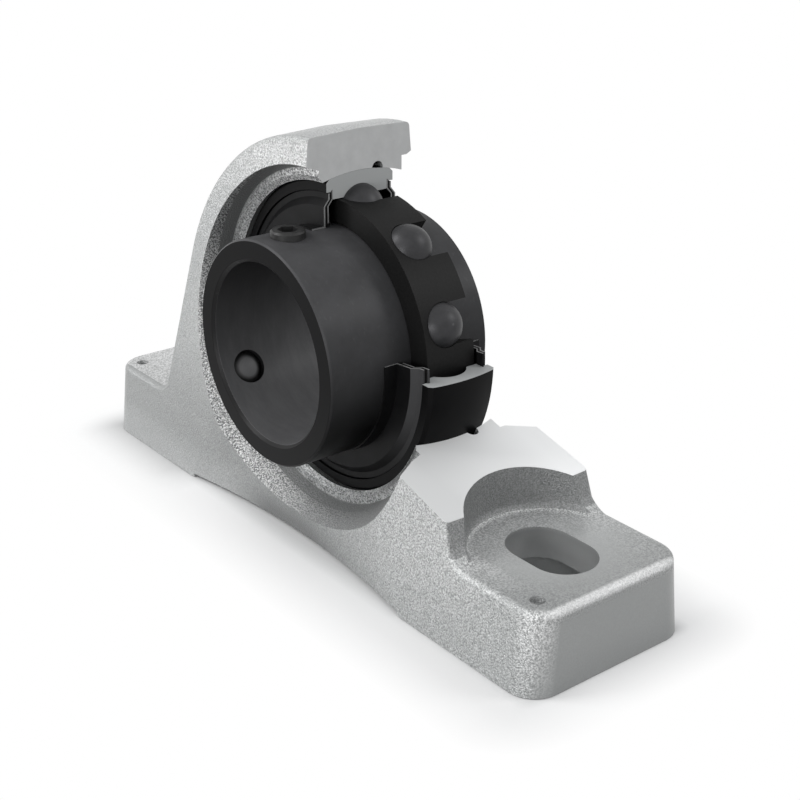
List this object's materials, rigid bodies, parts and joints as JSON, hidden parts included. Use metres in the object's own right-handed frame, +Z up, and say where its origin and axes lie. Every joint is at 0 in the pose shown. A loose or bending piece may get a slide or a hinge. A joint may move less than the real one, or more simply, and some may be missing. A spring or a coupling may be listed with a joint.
{
  "type": "pillow block bearing",
  "caption": "Pillow block bearing with a slotted cast housing, cut open to show its self-aligning insert with set screws, seals, balls and cage.",
  "frame": {"origin": "on the mounting surface, straight under the middle of the bearing", "axes": "+X along the housing's length through both bolt slots, -Y towards the side with the set screws, +Z up; the shaft runs along Y"},
  "size_m": [0.203, 0.0599, 0.1139],
  "materials": {
    "cast_iron": "sand-cast, painted light grey, machined seat and cut faces",
    "ring_steel": "dark satin",
    "ball_steel": "polished",
    "screw_steel": "dark satin",
    "sheet_steel": "dark satin",
    "cage_polymer": "matt",
    "seal_rubber": "matt"
  },
  "bodies": {
    "housing": {"housing": "cast_iron"},
    "outer_ring": {"outer_ring": "ring_steel", "front_seal_plate": "sheet_steel", "front_seal_rubber": "seal_rubber", "rear_seal_plate": "sheet_steel", "rear_seal_rubber": "seal_rubber"},
    "inner_ring": {"inner_ring": "ring_steel", "set_screw_1": "screw_steel", "set_screw_2": "screw_steel", "front_flinger": "sheet_steel", "rear_flinger": "sheet_steel"},
    "cage": {"cage": "cage_polymer"},
    "ball_01": {"ball_01": "ball_steel"},
    "ball_02": {"ball_02": "ball_steel"},
    "ball_03": {"ball_03": "ball_steel"},
    "ball_04": {"ball_04": "ball_steel"},
    "ball_05": {"ball_05": "ball_steel"},
    "ball_06": {"ball_06": "ball_steel"},
    "ball_07": {"ball_07": "ball_steel"},
    "ball_08": {"ball_08": "ball_steel"},
    "ball_09": {"ball_09": "ball_steel"},
    "ball_10": {"ball_10": "ball_steel"}
  },
  "joints": [
    {"name": "swivel", "type": "hinge", "parent": "housing", "child": "outer_ring", "pos_m": [0, 0, 0.0577], "axis": [1, 0, 0], "range_deg": [-5, 5]},
    {"name": "spin", "type": "hinge", "parent": "outer_ring", "child": "inner_ring", "pos_m": [0, 0, 0.0577], "axis": [0, -1, 0], "continuous": true},
    {"name": "cage_spin", "type": "hinge", "parent": "outer_ring", "child": "cage", "pos_m": [0, 0, 0.0577], "axis": [0, -1, 0], "continuous": true},
    {"name": "ball_01_spin", "type": "hinge", "parent": "cage", "child": "ball_01", "pos_m": [0, 0, 0.0927], "axis": [0, -1, 0], "continuous": true},
    {"name": "ball_02_spin", "type": "hinge", "parent": "cage", "child": "ball_02", "pos_m": [0.02057, 0, 0.08602], "axis": [0, -1, 0], "continuous": true},
    {"name": "ball_03_spin", "type": "hinge", "parent": "cage", "child": "ball_03", "pos_m": [0.03329, 0, 0.06852], "axis": [0, -1, 0], "continuous": true},
    {"name": "ball_04_spin", "type": "hinge", "parent": "cage", "child": "ball_04", "pos_m": [0.03329, 0, 0.04688], "axis": [0, -1, 0], "continuous": true},
    {"name": "ball_05_spin", "type": "hinge", "parent": "cage", "child": "ball_05", "pos_m": [0.02057, 0, 0.02938], "axis": [0, -1, 0], "continuous": true},
    {"name": "ball_06_spin", "type": "hinge", "parent": "cage", "child": "ball_06", "pos_m": [0, 0, 0.0227], "axis": [0, -1, 0], "continuous": true},
    {"name": "ball_07_spin", "type": "hinge", "parent": "cage", "child": "ball_07", "pos_m": [-0.02057, 0, 0.02938], "axis": [0, -1, 0], "continuous": true},
    {"name": "ball_08_spin", "type": "hinge", "parent": "cage", "child": "ball_08", "pos_m": [-0.03329, 0, 0.04688], "axis": [0, -1, 0], "continuous": true},
    {"name": "ball_09_spin", "type": "hinge", "parent": "cage", "child": "ball_09", "pos_m": [-0.03329, 0, 0.06852], "axis": [0, -1, 0], "continuous": true},
    {"name": "ball_10_spin", "type": "hinge", "parent": "cage", "child": "ball_10", "pos_m": [-0.02057, 0, 0.08602], "axis": [0, -1, 0], "continuous": true}
  ],
  "couplings": [
    {"joint": "cage_spin", "follows": "spin", "ratio": 0.40929},
    {"joint": "ball_01_spin", "follows": "spin", "ratio": -2.6665},
    {"joint": "ball_02_spin", "follows": "spin", "ratio": -2.6665},
    {"joint": "ball_03_spin", "follows": "spin", "ratio": -2.6665},
    {"joint": "ball_04_spin", "follows": "spin", "ratio": -2.6665},
    {"joint": "ball_05_spin", "follows": "spin", "ratio": -2.6665},
    {"joint": "ball_06_spin", "follows": "spin", "ratio": -2.6665},
    {"joint": "ball_07_spin", "follows": "spin", "ratio": -2.6665},
    {"joint": "ball_08_spin", "follows": "spin", "ratio": -2.6665},
    {"joint": "ball_09_spin", "follows": "spin", "ratio": -2.6665},
    {"joint": "ball_10_spin", "follows": "spin", "ratio": -2.6665}
  ]
}
